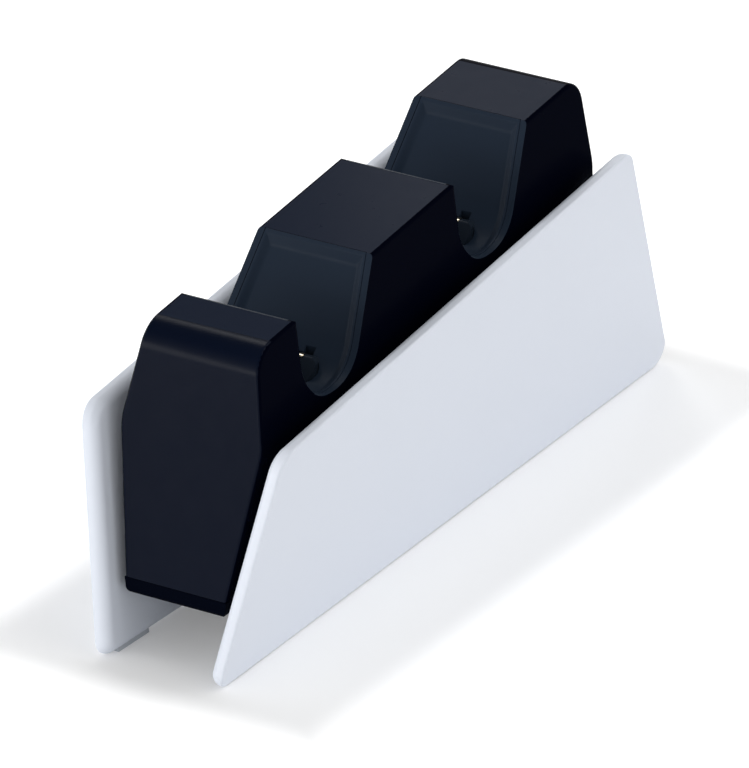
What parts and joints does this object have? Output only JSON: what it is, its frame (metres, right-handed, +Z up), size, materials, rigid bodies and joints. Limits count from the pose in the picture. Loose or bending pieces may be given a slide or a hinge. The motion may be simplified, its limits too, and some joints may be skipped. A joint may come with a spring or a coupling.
{
  "type": "controller charging dock",
  "caption": "Wedge-shaped charging dock for game controllers: a dark stepped housing with open bays and charging connectors, held between pale side panels that lean outwards.",
  "frame": {"origin": "on the floor under the middle of the dock's length, on its plane of symmetry", "axes": "+X to the dock's right-hand side panel, +Y from the low end to the high end, +Z up"},
  "size_m": [0.0526, 0.202, 0.0898],
  "materials": {
    "panel_white": "fine satin, moulded",
    "housing_black": "satin, moulded",
    "cover_black": "satin, moulded",
    "cradle_slate": "satin, moulded",
    "connector_black": "satin, moulded",
    "contact_plated": "bright plating",
    "foot_rubber": "matt",
    "board_green": "lacquered board",
    "screw_steel": "zinc plated",
    "lead_sleeve": "smooth sleeve",
    "ballast_iron": "as cast",
    "chip_black": "matt",
    "capacitor_can": "plain can",
    "header_white": "moulded",
    "jack_black": "moulded"
  },
  "bodies": {
    "root": {"right_panel": "panel_white", "left_panel": "panel_white", "right_front_foot": "foot_rubber", "left_front_foot": "foot_rubber", "right_rear_foot": "foot_rubber", "left_rear_foot": "foot_rubber", "upper_housing": "housing_black", "bottom_cover": "cover_black", "front_cradle": "cradle_slate", "rear_cradle": "cradle_slate", "front_connector": "connector_black", "rear_connector": "connector_black", "front_right_contact": "contact_plated", "front_left_contact": "contact_plated", "rear_right_contact": "contact_plated", "rear_left_contact": "contact_plated", "front_bay_board": "board_green", "rear_bay_board": "board_green", "main_board": "board_green", "front_board_screws": "screw_steel", "rear_board_screws": "screw_steel", "main_board_screws": "screw_steel", "cover_screws": "screw_steel", "right_panel_screws": "screw_steel", "left_panel_screws": "screw_steel", "front_leads": "lead_sleeve", "rear_leads": "lead_sleeve", "ballast_block": "ballast_iron", "charge_chips": "chip_black", "inductors": "chip_black", "capacitors": "capacitor_can", "lead_headers": "header_white", "power_jack": "jack_black", "jack_pin": "contact_plated"}
  },
  "joints": []
}
